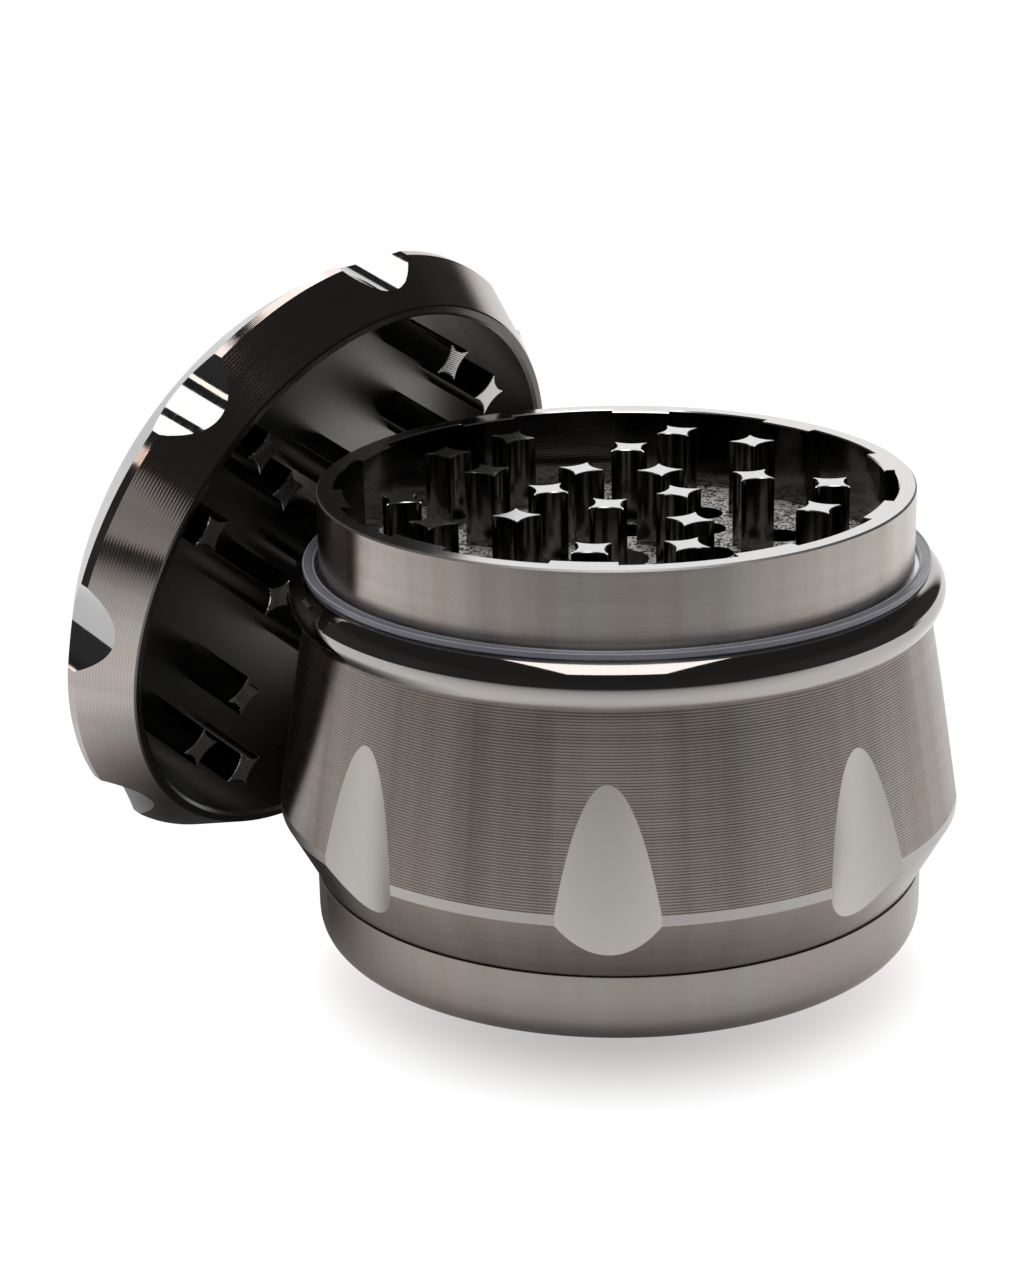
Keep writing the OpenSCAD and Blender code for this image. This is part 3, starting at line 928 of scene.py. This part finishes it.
def addTable():
    mesh = bpy.data.meshes.new("table")
    rim = [polar(table["radius"] * mm, angle) for angle in anglesRound(table["segments"])]
    mesh.from_pydata([(x, y, 0) for x, y in rim], [], [range(table["segments"])])
    piece = bpy.data.objects.new("table", mesh)
    bpy.context.scene.collection.objects.link(piece)
    material, tree, shader = newMaterial("tableTop")
    lit, dim, near = tableLight(tree)
    seen = addNode(tree, "ShaderNodeLightPath").outputs["Is Camera Ray"]
    glow = addNode(tree, "ShaderNodeMix", {"Factor": seen, "A": dim, "B": lit}, data_type="FLOAT")
    tints = {"Factor": near, "A": (1, 1, 1, 1), "B": (*table["shadowTint"], 1)}
    tint = addNode(tree, "ShaderNodeMix", tints, data_type="RGBA")
    tree.links.new(glow.outputs["Result"], shader.inputs["Emission Strength"])
    tree.links.new(tint.outputs["Result"], shader.inputs["Emission Color"])
    shader.inputs["Base Color"].default_value = (0, 0, 0, 1)
    shader.inputs["Specular IOR Level"].default_value = 0.0
    mesh.materials.append(material)


# dark room with a low white backdrop behind the object
room = {
    "front": 0.03,
    "side": 0.045,
    "back": 1.0,
    "sideFrom": (0.70, 0.30),       # cosines of the turn away from the camera
    "backFrom": (-0.83, -0.92),
    "backTop": (0.43, 0.38),        # sines of the height
    "lowBackFrom": (-0.45, -0.60),
    "lowBackTop": (0.0, -0.05),
    "roof": 0.025,
    "roofFrom": (0.25, 0.60),
}


def addRoom():
    world = bpy.data.worlds.new("room")
    bpy.context.scene.world = world
    world.use_nodes = True
    tree = world.node_tree
    tree.nodes.clear()
    towards = addNode(tree, "ShaderNodeTexCoord").outputs["Generated"]
    axes = addNode(tree, "ShaderNodeSeparateXYZ", {0: towards})
    height = axes.outputs[2]
    front = facingFront(tree, axes, flatLength(tree, axes))
    walls = softStep(tree, front, *room["sideFrom"], room["front"], room["side"])
    roofed = {"Factor": softStep(tree, height, *room["roofFrom"]), "A": walls, "B": room["roof"]}
    dark = addNode(tree, "ShaderNodeMix", roofed, data_type="FLOAT").outputs["Result"]
    backdrop = calc(tree, "MULTIPLY", softStep(tree, front, *room["backFrom"]),
                    softStep(tree, height, *room["backTop"]))
    lowBack = calc(tree, "MULTIPLY", softStep(tree, front, *room["lowBackFrom"]),
                   softStep(tree, height, *room["lowBackTop"]))
    white = calc(tree, "MULTIPLY", calc(tree, "MAXIMUM", backdrop, lowBack), room["back"])
    cameraRay = addNode(tree, "ShaderNodeLightPath").outputs["Is Camera Ray"]
    strength = calc(tree, "MAXIMUM", calc(tree, "MAXIMUM", dark, white),
                    calc(tree, "MULTIPLY", cameraRay, table["seen"]))
    ground = addNode(tree, "ShaderNodeBackground", {"Color": (1, 1, 1, 1), "Strength": strength})
    out = tree.nodes.new("ShaderNodeOutputWorld")
    tree.links.new(ground.outputs[0], out.inputs["Surface"])


# one soft box overhead and a little in front
softBox = {
    "place": (0, -20, 540),
    "size": (300, 750),
    "power": 1.55,
    "tint": (1.0, 0.985, 0.96),
}


def addLamp(name, size, power, tint, place):
    light = bpy.data.lights.new(name, "AREA")
    light.shape = "RECTANGLE"
    light.size, light.size_y = (side * mm for side in size)
    light.energy = power
    light.color = tint
    lamp = bpy.data.objects.new(name, light)
    lamp.location = [c * mm for c in place]
    bpy.context.scene.collection.objects.link(lamp)
    return lamp


# white and peach cards held near, each seen by one piece only
# a card has its turn and rise from the middle, its width and height, its glow and its tint
cards = {
    "middle": (-42, 8, 62),
    "reach": 260,
    "white": (1.0, 1.0, 1.0),
    "peach": (1.0, 0.86, 0.78),
    "lidCap": ((-84, 58, 120, 125, 2.1, "white"), (177, 48, 100, 85, 2.0, "white"),
               (-12, -1, 80, 100, 0.34, "white"), (-69, 30, 34, 26, 2.3, "peach")),
    "catchBowl": ((-138, -24, 170, 120, 1.3, "white"),),
    "unblocked": ("catchBowl",),    # its card stands behind the lid, mostly below the table
}


def addCard(name, turn, rise, width, height, glow, tint):
    turn, rise = math.radians(turn), math.radians(rise)
    flat = math.cos(rise)
    away = Vector((math.sin(turn) * flat, -math.cos(turn) * flat, math.sin(rise)))
    place = Vector(cards["middle"]) + away * cards["reach"]
    power = glow * math.pi * width * mm * height * mm
    lamp = addLamp(name, (width, height), power, cards[tint], place)
    lamp.rotation_euler = away.to_track_quat("Z", "Y").to_euler()
    return lamp


def addCards(pieceName):
    litPiece = bpy.data.collections.new(f"{pieceName}Light")
    litPiece.objects.link(bpy.data.objects[pieceName])
    for n, card in enumerate(cards[pieceName]):
        lamp = addCard(f"{pieceName}Card{n}", *card)
        lamp.light_linking.receiver_collection = litPiece
        if pieceName in cards["unblocked"]:
            lamp.light_linking.blocker_collection = litPiece    # so lid and table let it through


# camera in front and above, looking slightly down
viewpoint = {
    "place": (0, -246.56, 112.58),
    "down": 19.08,
    "turn": -2.235,
    "roll": -1.146,
    "lens": 79.53,
    "film": 36,             # long side
}


def addCamera():
    data = bpy.data.cameras.new("camera")
    data.sensor_fit = "AUTO"
    data.sensor_width = viewpoint["film"]
    data.lens = viewpoint["lens"]
    data.clip_start, data.clip_end = 0.01, 20
    down, turn, roll = (math.radians(viewpoint[k]) for k in ("down", "turn", "roll"))
    ahead = Vector((math.sin(turn) * math.cos(down), math.cos(turn) * math.cos(down), -math.sin(down)))
    right = Vector((math.cos(turn), -math.sin(turn), 0))
    up = right.cross(ahead)
    rolledRight = right * math.cos(roll) + up * math.sin(roll)
    rolledUp = up * math.cos(roll) - right * math.sin(roll)
    camera = bpy.data.objects.new("camera", data)
    camera.matrix_world = Matrix((rolledRight, rolledUp, -ahead)).transposed().to_4x4()
    camera.location = [c * mm for c in viewpoint["place"]]
    bpy.context.scene.collection.objects.link(camera)
    bpy.context.scene.camera = camera


addTable()
addRoom()
addLamp("softBox", softBox["size"], softBox["power"], softBox["tint"], softBox["place"])
addCards("lidCap")
addCards("catchBowl")
addCamera()
bpy.context.scene.view_settings.view_transform = "Standard"
print("studio set")
